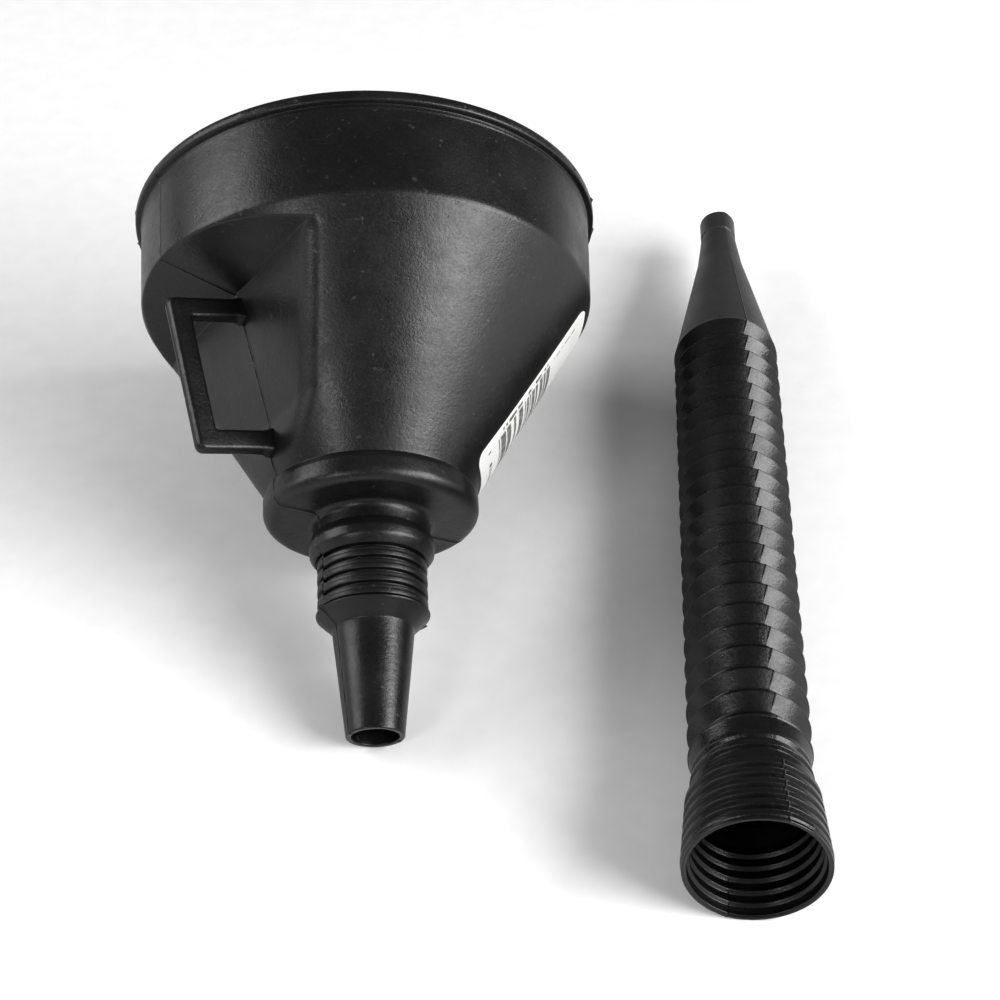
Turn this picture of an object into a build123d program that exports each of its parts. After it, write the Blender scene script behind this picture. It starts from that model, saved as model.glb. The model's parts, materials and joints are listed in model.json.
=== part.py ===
"""A filling funnel with its detachable flexible spout, both lying on a flat surface.

Every piece is modelled upright in its own frame and laid down at the end:
the funnel hangs below its rim plane (Z = 0) with its handle towards +X, and the
flexible spout stands on its socket's mouth (Z = 0) with its nozzle up.
All sizes are in millimetres, and depths are measured down from the rim.
"""
import os
from math import atan2, cos, degrees, radians, sin, sqrt

from build123d import *

# ---- funnel: radii and depths below the rim ----
WALL = 2.0
CONE_WALL = 2.35
RIM_RADIUS = 72.5
RIM_HEIGHT = 3.8
RIM_EDGE = 1.0
SKIRT_TOP_RADIUS = 70.6
SKIRT_RADIUS = 69.8
SKIRT_DEPTH = 32.8
CONE_FOOT_RADIUS = 31.0
CONE_FOOT_DEPTH = 96.4
COLLAR_RADIUS = 32.2
COLLAR_DEPTH = 105.4
COLLAR_SHOULDER = 2.4
COLLAR_EDGE = 3.4
NECK_RADIUS = 17.4
NECK_FILLET = 3.0
BULGE_RADIUS = 18.6
BULGE_TOP_DEPTH = 111.0
BULGE_DEPTH = 118.6
BULGE_FOOT_RADIUS = 16.5
THREAD_RADIUS = 16.2
THREAD_ROOT_RADIUS = 15.3
THREAD_PITCH = 4.0
THREAD_TURNS = 4
THREAD_GROOVE = 0.8
THREAD_SLOPE = 0.5
FLANGE_RADIUS = 16.8
FLANGE_RISE = 0.4
FLANGE_DEPTH = BULGE_DEPTH + THREAD_PITCH * THREAD_TURNS + FLANGE_RISE
SPOUT_ROOT_RADIUS = 12.1
SPOUT_ROOT_DEPTH = FLANGE_DEPTH + 4.9
SPOUT_RADIUS = 8.5
SPOUT_BORE_RADIUS = 6.9
SPOUT_DEPTH = 172.5
SPOUT_LAND = 6.0

# inside the collar: the strainer's seat, and the way down the neck
SEAT_RADIUS = 27.8
SEAT_DEPTH = 102.8
SEAT_CHAMFER = 1.4
NECK_BORE_RADIUS = 13.6

# flat cut for the hand, square to the handle: (distance from the axis, depth) down its face
CUT_LEDGE = (72.5, 31.8)
CUT_TOP = (44.9, 38.2)
CUT_KNEE = (33.6, 79.4)
CUT_FOOT = (33.0, 96.8)

# handle: a bracket-shaped loop in the parting plane, with its outer corners as (distance, depth)
# and the depths where its arms' outer edges, drawn on, would meet the axis
HANDLE_THICKNESS = 4.6
HANDLE_BAR = 7.0
HANDLE_CORNER_RADIUS = 2.5
HANDLE_TOP = (67.8, 45.5)
HANDLE_FOOT = (56.5, 94.0)
HANDLE_TOP_AXIS_DEPTH = 29.5
HANDLE_FOOT_AXIS_DEPTH = 82.0

# strainer
STRAINER_RADIUS = 27.2
STRAINER_BORE_RADIUS = 24.6
STRAINER_HEIGHT = 3.6
STRAINER_RIB = 1.8
STRAINER_RIB_HEIGHT = 1.6
STRAINER_POST_RADIUS = 2.2
STRAINER_POST_HEIGHT = 16.0
STRAINER_KNOB_RADIUS = 3.6
STRAINER_KNOB_HEIGHT = 3.0
STRAINER_KNOB_EDGE = 1.0
GAUZE_THICKNESS = 0.5

# label on the cone
LABEL_LENGTH = 66.0
LABEL_WIDTH = 36.0
LABEL_THICKNESS = 0.25
LABEL_CORNER = 4.0
LABEL_AZIMUTH = 161.0
LABEL_MIDDLE_DEPTH = 64.0

# ---- flexible spout: the bellows ----
CREST_RADIUS = 17.6
CREST_LAND = 0.25
CREST_COUNT = 22
PITCH = 8.8
HALF_PITCH = PITCH / 2
# each fold ends in a lip, a zone of a sphere about the joint, inside the next fold's cup
LIP_RADIUS = 12.9
LIP_BORE_RADIUS = 11.9
LIP_REACH = 2.2
LIP_ROOT = -2.4
LIP_BORE_ROOT = -3.0
CUP_RADIUS = 13.2
CUP_OUTER_RADIUS = 14.1
CUP_REACH = -0.1
CUP_ROOT = 1.0
CREST_BORE_RADIUS = 15.9
CREST_BORE_OFFSET = -0.35

# ---- flexible spout: the socket that goes over the funnel's neck ----
SOCKET_LENGTH = 40.0
SOCKET_MOUTH_RADIUS = 20.3
SOCKET_MOUTH_HEIGHT = 3.6
SOCKET_LAND = 3.0
SOCKET_BORE_RADIUS = 18.5
SOCKET_RIBS = 5
SOCKET_RIB_PITCH = THREAD_PITCH
SOCKET_RIB_DEPTH = 0.7
SOCKET_RIB_GROOVE = 0.8
SOCKET_RIB_SLOPE = 1.0
SOCKET_RIB_GAP = 0.6
SOCKET_TOP_RADIUS = 18.8
SOCKET_TOP_BORE_RADIUS = 16.4
SOCKET_BORE_TAPER = 3.0
SOCKET_TOP = 28.4
SOCKET_NECK_RADIUS = 16.4
SOCKET_NECK_BORE_RADIUS = 15.0
SOCKET_NECK_TOP = 34.8

# ---- flexible spout: the nozzle ----
NOZZLE_LENGTH = 83.0
NOZZLE_CONE_LENGTH = 55.0
NOZZLE_CONE_RADIUS = 8.2
NOZZLE_NECK_RADIUS = 6.4
NOZZLE_WALL = 1.4
TIP_RADIUS = 6.5
TIP_BAND = 10.0
TIP_GROOVE = 0.4
TIP_GROOVE_WIDTH = 0.4
TIP_GROOVE_SLOPE = 0.5
TIP_BORE_RADIUS = 5.0

# ---- how they lie: the funnel on its skirt's edge and its spout, the flexible spout beside it ----
HANDLE_ROLL = 210.0
FLEX_HEADING = -5.0
FLEX_MOUTH = (99.9, -221.8)

BELLOWS_LENGTH = PITCH * (CREST_COUNT - 1)
FUNNEL_TILT = degrees(atan2(SKIRT_RADIUS - SPOUT_RADIUS, SPOUT_DEPTH - SKIRT_DEPTH))
FLEX_TILT = degrees(atan2(SOCKET_MOUTH_RADIUS - CREST_RADIUS, SOCKET_LENGTH + BELLOWS_LENGTH))
CONE_SLOPE = degrees(atan2(SKIRT_RADIUS - CONE_FOOT_RADIUS, CONE_FOOT_DEPTH - SKIRT_DEPTH))


def cone_radius(depth):
    """Outer radius of the cone at a depth."""
    share = (depth - SKIRT_DEPTH) / (CONE_FOOT_DEPTH - SKIRT_DEPTH)
    return SKIRT_RADIUS + share * (CONE_FOOT_RADIUS - SKIRT_RADIUS)


def on_sphere(radius, height):
    """Point at a height on a sphere's outline, measured from the sphere's centre."""
    return (sqrt(radius**2 - height**2), height)


def shifted(point, height):
    """The same outline point, raised by a height."""
    return (point[0], point[1] + height)


# ============================ funnel moulding ============================

# The hollow inside: mouth, cone, strainer seat and the top of the neck.
# The flat cut's wall stands into it.
with BuildPart() as cavity:
    with BuildSketch(Plane.XZ):
        Polygon(
            (0, 0),
            (SKIRT_TOP_RADIUS - WALL, 0),
            (SKIRT_RADIUS - WALL, -SKIRT_DEPTH),
            (CONE_FOOT_RADIUS - CONE_WALL, -CONE_FOOT_DEPTH),
            (SEAT_RADIUS, -CONE_FOOT_DEPTH - SEAT_CHAMFER),
            (SEAT_RADIUS, -SEAT_DEPTH),
            (0, -SEAT_DEPTH),
            align=None,
        )
    revolve(axis=Axis.Z)
    with BuildSketch(Plane.XZ):
        Polygon(
            (CUT_TOP[0] - WALL, -CUT_TOP[1] + WALL),
            (CUT_KNEE[0] - WALL, -CUT_KNEE[1]),
            (CUT_FOOT[0] - WALL, -CUT_FOOT[1]),
            (RIM_RADIUS, -CUT_FOOT[1]),
            (CUT_LEDGE[0], -CUT_LEDGE[1] + WALL),
            align=None,
        )
    extrude(amount=RIM_RADIUS, both=True, mode=Mode.SUBTRACT)

with BuildPart() as funnel_body:
    with BuildSketch(Plane.XZ):
        Polygon(
            (0, 0),
            (RIM_RADIUS, 0),
            (RIM_RADIUS, -RIM_HEIGHT),
            (SKIRT_TOP_RADIUS, -RIM_HEIGHT),
            (SKIRT_RADIUS, -SKIRT_DEPTH),
            (CONE_FOOT_RADIUS, -CONE_FOOT_DEPTH),
            (COLLAR_RADIUS, -CONE_FOOT_DEPTH - COLLAR_SHOULDER),
            (COLLAR_RADIUS, -COLLAR_DEPTH),
            (NECK_RADIUS, -COLLAR_DEPTH),
            (0, -COLLAR_DEPTH),
            align=None,
        )
    revolve(axis=Axis.Z)
    rim_edges = funnel_body.edges().filter_by(GeomType.CIRCLE).filter_by_position(Axis.Z, -RIM_HEIGHT, 0)
    fillet(rim_edges.filter_by(lambda edge: edge.radius > RIM_RADIUS - 0.1), RIM_EDGE)
    collar_edge = funnel_body.edges().filter_by(GeomType.CIRCLE).filter_by(
        lambda edge: edge.radius > COLLAR_RADIUS - 0.1
    )
    fillet(collar_edge.sort_by(Axis.Z)[0], COLLAR_EDGE)
    with BuildSketch(Plane.XZ):
        Polygon(
            (CUT_TOP[0], -CUT_TOP[1]),
            (CUT_KNEE[0], -CUT_KNEE[1]),
            (CUT_FOOT[0], -CUT_FOOT[1]),
            (RIM_RADIUS, -CUT_FOOT[1]),
            (CUT_LEDGE[0], -CUT_LEDGE[1]),
            align=None,
        )
    extrude(amount=RIM_RADIUS, both=True, mode=Mode.SUBTRACT)
    add(cavity.part, mode=Mode.SUBTRACT)
    Cylinder(
        NECK_BORE_RADIUS,
        COLLAR_DEPTH,
        align=(Align.CENTER, Align.CENTER, Align.MAX),
        mode=Mode.SUBTRACT,
    )

with BuildPart() as funnel_handle:
    with BuildSketch(Plane.XZ) as handle_loop:
        Polygon(
            (0, -HANDLE_TOP_AXIS_DEPTH),
            (HANDLE_TOP[0], -HANDLE_TOP[1]),
            (HANDLE_FOOT[0], -HANDLE_FOOT[1]),
            (0, -HANDLE_FOOT_AXIS_DEPTH),
            align=None,
        )
        fillet(handle_loop.vertices().group_by(Axis.X)[-1], HANDLE_CORNER_RADIUS)
        offset(amount=-HANDLE_BAR, mode=Mode.SUBTRACT)
        Polygon(
            (0, 0),
            (CUT_TOP[0], 0),
            (CUT_TOP[0], -CUT_TOP[1]),
            (CUT_KNEE[0], -CUT_KNEE[1]),
            (CUT_FOOT[0], -CUT_FOOT[1]),
            (0, -CUT_FOOT[1]),
            align=None,
            mode=Mode.SUBTRACT,
        )
    extrude(amount=HANDLE_THICKNESS / 2, both=True)

# Neck, thread ribs, flange and tapered spout below the collar.
with BuildPart() as funnel_neck:
    with BuildSketch(Plane.XZ):
        with BuildLine():
            neck_foot = (NECK_RADIUS, -BULGE_TOP_DEPTH)
            Line((NECK_BORE_RADIUS, -COLLAR_DEPTH), (NECK_RADIUS + NECK_FILLET, -COLLAR_DEPTH))
            RadiusArc(
                (NECK_RADIUS + NECK_FILLET, -COLLAR_DEPTH),
                (NECK_RADIUS, -COLLAR_DEPTH - NECK_FILLET),
                NECK_FILLET,
            )
            Line((NECK_RADIUS, -COLLAR_DEPTH - NECK_FILLET), neck_foot)
            ThreePointArc(
                neck_foot,
                (BULGE_RADIUS, -(BULGE_TOP_DEPTH + BULGE_DEPTH) / 2),
                (BULGE_FOOT_RADIUS, -BULGE_DEPTH),
            )
            Line((BULGE_FOOT_RADIUS, -BULGE_DEPTH), (THREAD_ROOT_RADIUS, -BULGE_DEPTH))
            for turn in range(THREAD_TURNS):
                top = -BULGE_DEPTH - turn * THREAD_PITCH
                Polyline(
                    (THREAD_ROOT_RADIUS, top),
                    (THREAD_ROOT_RADIUS, top - THREAD_GROOVE),
                    (THREAD_RADIUS, top - THREAD_GROOVE - THREAD_SLOPE),
                    (THREAD_RADIUS, top - THREAD_PITCH + THREAD_SLOPE),
                    (THREAD_ROOT_RADIUS, top - THREAD_PITCH),
                )
            Polyline(
                (THREAD_ROOT_RADIUS, -BULGE_DEPTH - THREAD_TURNS * THREAD_PITCH),
                (FLANGE_RADIUS, -FLANGE_DEPTH),
                (SPOUT_ROOT_RADIUS, -SPOUT_ROOT_DEPTH),
                (SPOUT_RADIUS, -SPOUT_DEPTH),
                (SPOUT_BORE_RADIUS, -SPOUT_DEPTH),
                (SPOUT_BORE_RADIUS, -SPOUT_DEPTH + SPOUT_LAND),
                (SPOUT_ROOT_RADIUS - WALL, -SPOUT_ROOT_DEPTH),
                (NECK_BORE_RADIUS, -FLANGE_DEPTH),
                (NECK_BORE_RADIUS, -COLLAR_DEPTH),
            )
        make_face()
    revolve(axis=Axis.Z)

# ============================ strainer and label ============================

with BuildPart() as strainer_frame:
    with BuildSketch(Plane.XY.offset(-SEAT_DEPTH)):
        Circle(STRAINER_RADIUS)
        Circle(STRAINER_BORE_RADIUS, mode=Mode.SUBTRACT)
    extrude(amount=STRAINER_HEIGHT)
    with BuildSketch(Plane.XY.offset(-SEAT_DEPTH)):
        with PolarLocations(0, 2, angular_range=180):
            Rectangle(STRAINER_BORE_RADIUS + STRAINER_RADIUS, STRAINER_RIB)
    extrude(amount=STRAINER_RIB_HEIGHT)
    with BuildSketch(Plane.XY.offset(-SEAT_DEPTH)):
        Circle(STRAINER_POST_RADIUS)
    extrude(amount=STRAINER_POST_HEIGHT)
    with BuildSketch(Plane.XY.offset(-SEAT_DEPTH + STRAINER_POST_HEIGHT)):
        Circle(STRAINER_KNOB_RADIUS)
    extrude(amount=STRAINER_KNOB_HEIGHT)
    fillet(strainer_frame.edges().group_by(Axis.Z)[-1], STRAINER_KNOB_EDGE)

with BuildPart() as strainer_gauze:
    with BuildSketch(Plane.XY.offset(-SEAT_DEPTH + STRAINER_RIB_HEIGHT)):
        Circle(STRAINER_BORE_RADIUS)
        Circle(STRAINER_POST_RADIUS, mode=Mode.SUBTRACT)
    extrude(amount=GAUZE_THICKNESS)

label_radius = cone_radius(LABEL_MIDDLE_DEPTH)
label_plane = Plane(
    origin=(
        label_radius * cos(radians(LABEL_AZIMUTH)),
        label_radius * sin(radians(LABEL_AZIMUTH)),
        -LABEL_MIDDLE_DEPTH,
    ),
    x_dir=(-sin(radians(LABEL_AZIMUTH)), cos(radians(LABEL_AZIMUTH)), 0),
    z_dir=(
        cos(radians(CONE_SLOPE)) * cos(radians(LABEL_AZIMUTH)),
        cos(radians(CONE_SLOPE)) * sin(radians(LABEL_AZIMUTH)),
        -sin(radians(CONE_SLOPE)),
    ),
)
label_skin = LABEL_THICKNESS / cos(radians(CONE_SLOPE))
with BuildPart() as label:
    with BuildSketch(Plane.XZ):
        Polygon(
            (SKIRT_RADIUS, -SKIRT_DEPTH),
            (SKIRT_RADIUS + label_skin, -SKIRT_DEPTH),
            (CONE_FOOT_RADIUS + label_skin, -CONE_FOOT_DEPTH),
            (CONE_FOOT_RADIUS, -CONE_FOOT_DEPTH),
            align=None,
        )
    revolve(axis=Axis.Z)
    with BuildSketch(label_plane):
        RectangleRounded(LABEL_WIDTH, LABEL_LENGTH, LABEL_CORNER)
    extrude(amount=LABEL_WIDTH / 2, both=True, mode=Mode.INTERSECT)

# ============================ flexible spout ============================


def lip_points(joint_height):
    """Outline of a fold's lip about a joint, from its outer root round its free edge to its bore."""
    return (
        shifted(on_sphere(LIP_RADIUS, LIP_ROOT), joint_height),
        shifted((LIP_RADIUS, 0), joint_height),
        shifted(on_sphere(LIP_RADIUS, LIP_REACH), joint_height),
        shifted(on_sphere(LIP_BORE_RADIUS, LIP_REACH), joint_height),
        shifted((LIP_BORE_RADIUS, 0), joint_height),
        shifted(on_sphere(LIP_BORE_RADIUS, LIP_BORE_ROOT), joint_height),
    )


def cup_points(joint_height):
    """Outline of a fold's cup about a joint, from its bore round its free edge to its outer root."""
    return (
        shifted(on_sphere(CUP_RADIUS, CUP_ROOT), joint_height),
        shifted(on_sphere(CUP_RADIUS, CUP_REACH), joint_height),
        shifted(on_sphere(CUP_OUTER_RADIUS, CUP_REACH), joint_height),
        shifted(on_sphere(CUP_OUTER_RADIUS, CUP_ROOT), joint_height),
    )


def crest_height(crest):
    """Height of a crest above the socket's mouth, counted from the socket's own crest, 0."""
    return SOCKET_LENGTH + crest * PITCH


# One fold of the bellows, from the valley below its crest to the valley above it.
with BuildPart() as fold:
    outer_root, outer_middle, outer_edge, bore_edge, bore_middle, bore_root = lip_points(HALF_PITCH)
    cup_bore_root, cup_bore_edge, cup_outer_edge, cup_outer_root = cup_points(-HALF_PITCH)
    with BuildSketch(Plane.XZ):
        with BuildLine():
            Polyline(cup_bore_edge, cup_outer_edge, cup_outer_root)
            Polyline(
                cup_outer_root,
                (CREST_RADIUS, -CREST_LAND),
                (CREST_RADIUS, CREST_LAND),
                outer_root,
            )
            ThreePointArc(outer_root, outer_middle, outer_edge)
            Line(outer_edge, bore_edge)
            ThreePointArc(bore_edge, bore_middle, bore_root)
            Polyline(bore_root, (CREST_BORE_RADIUS, CREST_BORE_OFFSET), cup_bore_root)
            Line(cup_bore_root, cup_bore_edge)
        make_face()
    revolve(axis=Axis.Z)

with BuildPart() as flex_socket:
    outer_root, outer_middle, outer_edge, bore_edge, bore_middle, bore_root = lip_points(
        SOCKET_LENGTH + HALF_PITCH
    )
    with BuildSketch(Plane.XZ):
        with BuildLine():
            Polyline(
                (SOCKET_BORE_RADIUS, SOCKET_LAND),
                (SOCKET_BORE_RADIUS, 0),
                (SOCKET_MOUTH_RADIUS, 0),
                (SOCKET_MOUTH_RADIUS, SOCKET_MOUTH_HEIGHT),
            )
            rib_start = (SOCKET_MOUTH_RADIUS, SOCKET_MOUTH_HEIGHT)
            for rib in range(SOCKET_RIBS):
                share = (rib + 1) / SOCKET_RIBS
                radius = SOCKET_MOUTH_RADIUS + share * (SOCKET_TOP_RADIUS - SOCKET_MOUTH_RADIUS)
                foot = SOCKET_MOUTH_HEIGHT + rib * SOCKET_RIB_PITCH
                Polyline(
                    rib_start,
                    (radius - SOCKET_RIB_DEPTH, foot + SOCKET_RIB_GROOVE),
                    (radius, foot + SOCKET_RIB_GROOVE + SOCKET_RIB_SLOPE),
                    (radius, foot + SOCKET_RIB_PITCH - SOCKET_RIB_GAP),
                )
                rib_start = (radius, foot + SOCKET_RIB_PITCH - SOCKET_RIB_GAP)
            Polyline(
                rib_start,
                (SOCKET_NECK_RADIUS, SOCKET_TOP),
                (SOCKET_NECK_RADIUS, SOCKET_NECK_TOP),
                (CREST_RADIUS, SOCKET_LENGTH - CREST_LAND),
                (CREST_RADIUS, SOCKET_LENGTH + CREST_LAND),
                outer_root,
            )
            ThreePointArc(outer_root, outer_middle, outer_edge)
            Line(outer_edge, bore_edge)
            ThreePointArc(bore_edge, bore_middle, bore_root)
            Polyline(
                bore_root,
                (CREST_BORE_RADIUS, SOCKET_LENGTH + CREST_BORE_OFFSET),
                (SOCKET_NECK_BORE_RADIUS, SOCKET_NECK_TOP),
                (SOCKET_NECK_BORE_RADIUS, SOCKET_TOP),
                (SOCKET_TOP_BORE_RADIUS, SOCKET_TOP - SOCKET_BORE_TAPER),
                (SOCKET_BORE_RADIUS, SOCKET_LAND),
            )
        make_face()
    revolve(axis=Axis.Z)

with BuildPart() as flex_nozzle:
    cup_bore_root, cup_bore_edge, cup_outer_edge, cup_outer_root = cup_points(-HALF_PITCH)
    band_foot = NOZZLE_LENGTH - TIP_BAND
    with BuildSketch(Plane.XZ):
        Polygon(
            cup_bore_edge,
            cup_outer_edge,
            cup_outer_root,
            (CREST_RADIUS, -CREST_LAND),
            (CREST_RADIUS, CREST_LAND),
            (NOZZLE_CONE_RADIUS, NOZZLE_CONE_LENGTH),
            (NOZZLE_NECK_RADIUS, band_foot - TIP_GROOVE_WIDTH - TIP_GROOVE_SLOPE),
            (TIP_RADIUS - TIP_GROOVE, band_foot - TIP_GROOVE_WIDTH),
            (TIP_RADIUS - TIP_GROOVE, band_foot),
            (TIP_RADIUS, band_foot + TIP_GROOVE_SLOPE),
            (TIP_RADIUS, NOZZLE_LENGTH),
            (TIP_BORE_RADIUS, NOZZLE_LENGTH),
            (TIP_BORE_RADIUS, band_foot),
            (NOZZLE_CONE_RADIUS - NOZZLE_WALL, NOZZLE_CONE_LENGTH),
            (CREST_BORE_RADIUS, CREST_BORE_OFFSET),
            cup_bore_root,
            align=None,
        )
    revolve(axis=Axis.Z)

# ============================ laying the pieces down ============================

# The funnel's axis leans so that the skirt's lower edge and the spout's end touch the surface.
funnel_rest = (
    Location((0, 0, SKIRT_DEPTH * sin(radians(FUNNEL_TILT)) + SKIRT_RADIUS * cos(radians(FUNNEL_TILT))))
    * Location((0, 0, 0), (FUNNEL_TILT - 90, 0, 0))
    * Location((0, 0, 0), (0, 0, HANDLE_ROLL))
)
# The flexible spout lies on its mouth and its bellows, with the mouth to the front.
flex_rest = (
    Location((*FLEX_MOUTH, SOCKET_MOUTH_RADIUS * cos(radians(FLEX_TILT))))
    * Location((0, 0, 0), (0, 0, FLEX_HEADING))
    * Location((0, 0, 0), (-90 - FLEX_TILT, 0, 0))
)


def on_flex(height):
    """Resting place of a piece whose own zero is at a height above the socket's mouth."""
    return flex_rest * Location((0, 0, height))


pieces = [
    ("funnel_body", funnel_body, funnel_rest),
    ("funnel_handle", funnel_handle, funnel_rest),
    ("funnel_neck", funnel_neck, funnel_rest),
    ("label", label, funnel_rest),
    ("strainer_frame", strainer_frame, funnel_rest),
    ("strainer_gauze", strainer_gauze, funnel_rest),
    ("flex_socket", flex_socket, flex_rest),
    ("flex_nozzle", flex_nozzle, on_flex(crest_height(CREST_COUNT - 1))),
]
for crest in range(1, CREST_COUNT - 1):
    pieces.append((f"bellows_fold_{crest:02d}", fold, on_flex(crest_height(crest))))

# The origin is on the surface, under the middle of the whole.
laid_pieces = {name: piece.part.moved(place) for name, piece, place in pieces}
whole = Compound(children=[laid.moved(Location()) for laid in laid_pieces.values()]).bounding_box()
centring = Location((-whole.center().X, -whole.center().Y, -whole.min.Z))

os.makedirs("parts", exist_ok=True)
for name, laid in laid_pieces.items():
    centred = laid.moved(centring)
    centred.label = name
    export_step(centred, f"parts/{name}.step")
print("centred by", tuple(round(value, 3) for value in centring.position))
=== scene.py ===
"""Looks of the filling funnel and of its detached flexible spout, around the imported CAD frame.

Shapes are worked out in millimetres in two local frames that come from the record's mounts:
the funnel hangs below its rim plane with its handle towards X, and the flexible spout stands
on its socket's mouth. Both are laid down by the frames' own axes.
"""

import json
import math

import bpy
import numpy as np
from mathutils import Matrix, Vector


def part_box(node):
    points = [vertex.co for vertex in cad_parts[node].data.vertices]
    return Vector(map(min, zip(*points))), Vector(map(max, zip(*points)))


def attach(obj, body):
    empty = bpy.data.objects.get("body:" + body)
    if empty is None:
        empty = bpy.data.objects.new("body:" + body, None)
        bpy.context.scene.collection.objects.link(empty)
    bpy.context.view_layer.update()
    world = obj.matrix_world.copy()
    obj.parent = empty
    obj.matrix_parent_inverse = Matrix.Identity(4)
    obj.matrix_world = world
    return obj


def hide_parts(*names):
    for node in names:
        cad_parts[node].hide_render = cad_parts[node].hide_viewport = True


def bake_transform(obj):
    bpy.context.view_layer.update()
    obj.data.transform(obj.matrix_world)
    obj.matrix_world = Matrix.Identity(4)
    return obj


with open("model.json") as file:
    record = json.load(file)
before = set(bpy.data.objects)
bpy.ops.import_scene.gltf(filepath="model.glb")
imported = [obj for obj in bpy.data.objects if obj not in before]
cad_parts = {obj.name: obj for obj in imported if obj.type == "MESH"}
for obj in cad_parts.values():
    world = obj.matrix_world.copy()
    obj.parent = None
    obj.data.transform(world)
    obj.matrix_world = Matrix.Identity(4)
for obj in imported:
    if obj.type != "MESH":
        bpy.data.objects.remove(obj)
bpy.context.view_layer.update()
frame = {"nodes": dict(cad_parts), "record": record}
MM = 0.001

# ---- funnel: radii and depths below the rim, in millimetres ----
WALL = 2.0
RIM_RADIUS = 72.5
RIM_HEIGHT = 3.8
SKIRT_TOP_RADIUS = 70.6
SKIRT_RADIUS = 69.8
SKIRT_DEPTH = 32.8
SKIRT_BEND = 4.0
CONE_FOOT_RADIUS = 31.0
CONE_FOOT_DEPTH = 96.4
COLLAR_RADIUS = 32.2
COLLAR_DEPTH = 105.4
NECK_RADIUS = 17.4
BULGE_TOP_DEPTH = 111.0
BULGE_RADIUS = 18.7
BULGE_DEPTH = 118.6
THREAD_RADIUS = 16.3
THREAD_ROOT_RADIUS = 15.2
THREAD_PITCH = 4.0
THREAD_TURNS = 4
FLANGE_RADIUS = 16.8
FLANGE_DEPTH = 135.0
SPOUT_ROOT_RADIUS = 12.1
SPOUT_ROOT_DEPTH = 139.9
SPOUT_RADIUS = 8.5
SPOUT_BORE_RADIUS = 6.9
SPOUT_DEPTH = 172.5
SPOUT_LAND = 6.0
SEAT_RADIUS = 27.8
SEAT_DEPTH = 102.8
NECK_BORE_RADIUS = 13.6

# flat cut for the hand: (distance from the axis, depth) in along its ledge and down its face
CUT_LEDGE = (72.5, 31.8)
CUT_TOP = (44.9, 38.2)
CUT_KNEE = (33.6, 79.4)
CUT_FOOT = (33.0, 96.8)
CUT_BLEND_LEDGE = 0.8
CUT_BLEND_TOP = 5.0
CUT_BLEND_FOOT = 3.0

# handle loop, outer corners as (distance, depth), and where its arms' edges would meet the axis
HANDLE_TOP = (67.8, 45.5)
HANDLE_FOOT = (56.5, 94.0)
HANDLE_TOP_AXIS_DEPTH = 29.5
HANDLE_FOOT_AXIS_DEPTH = 82.0
HANDLE_BAR = 7.0
HANDLE_THICKNESS = 4.6
HANDLE_EDGE = 1.3
HANDLE_DRAFT = 0.35
HANDLE_FLASH = 0.35
HANDLE_FLASH_WIDTH = 0.25
HANDLE_BEND = 2.6
HANDLE_INNER_BEND = 0.7
HANDLE_SINK = 1.2

# label
LABEL_LENGTH = 66.0
LABEL_WIDTH = 36.0
LABEL_CORNER = 4.0
LABEL_AZIMUTH = math.radians(159.6)
LABEL_MIDDLE_DEPTH = 65.2
LABEL_LIFT = 0.06
LABEL_THICKNESS = 0.18

# ---- flexible spout ----
CREST_RADIUS = 17.6
CREST_SEAM_RADIUS = CREST_RADIUS - 0.12
VALLEY_RADIUS = 14.0
CREST_COUNT = 22
PITCH = 8.8
FOLD_WALL = 1.0
CREST_BORE_RADIUS = CREST_SEAM_RADIUS - FOLD_WALL * 1.1
SOCKET_LENGTH = 40.0
SOCKET_MOUTH_RADIUS = 20.4
SOCKET_WALL = 1.7
SOCKET_RIBS = 5
SOCKET_RIB_DEPTH = 1.3
SOCKET_INNER_RIB_DEPTH = SOCKET_RIB_DEPTH * 0.45
SOCKET_RIB_START = 3.6
SOCKET_TOP_RADIUS = 18.8
SOCKET_TOP = 28.4
SOCKET_NECK_RADIUS = 16.4
SOCKET_NECK_TOP = 34.8
NOZZLE_LENGTH = 83.0
NOZZLE_CONE_LENGTH = 55.0
NOZZLE_CONE_RADIUS = 8.2
NOZZLE_NECK_RADIUS = 6.4
NOZZLE_WALL = 1.4
TIP_RADIUS = 6.5
TIP_BAND = 10.0
TIP_BORE_RADIUS = 5.0
FLEX_SEAM = math.radians(-70.0)
FLEX_PEAK = 0.5

# mould seams: how the columns of the meshes close in on them, and how far they stand out
SEAM_STEP = 0.08
SEAM_GROWTH = 1.55
SEAM_COLUMNS = 11
SEAM_HEIGHT = 0.28
SEAM_WIDTH = 0.22
FLEX_SEAM_HEIGHT = 0.16
GROOVE_DEPTH = 0.55
GROOVE_OFFSET = 0.5
GROOVE_WIDTH = 0.25
RIM_FLASH_DEPTH = 2.0
FLANGE_SPIKE = 1.4
RIB_SHIFT = 1.2

# ---- camera and light, in metres, degrees and watts ----
CAMERA_PLACE = (-0.0169, -0.5248, 0.4700)
CAMERA_TILT = 49.38
CAMERA_PAN = -2.65
CAMERA_LENS = 79.66
LIGHT_TARGET = (0.0, 0.0, 0.05)
SURROUND_STRENGTH = 0.21
EXPOSURE = 0.35
GAMMA = 0.82
FLOOR_REACH = 6.0


# ============================ local frames ============================


class Place:
    """A local frame: an origin in metres and three unit axes. It lays local millimetres down."""

    def __init__(self, origin, x_hint, z):
        self.origin = np.array(origin, float)
        self.z = np.array(z, float) / np.linalg.norm(z)
        x = np.array(x_hint, float) - np.dot(x_hint, self.z) * self.z
        self.x = x / np.linalg.norm(x)
        self.y = np.cross(self.z, self.x)

    def put(self, points):
        """Local points in millimetres as row-frame points in metres."""
        local = np.asarray(points, float)
        return self.origin + MM * (local @ np.array([self.x, self.y, self.z]))


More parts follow.
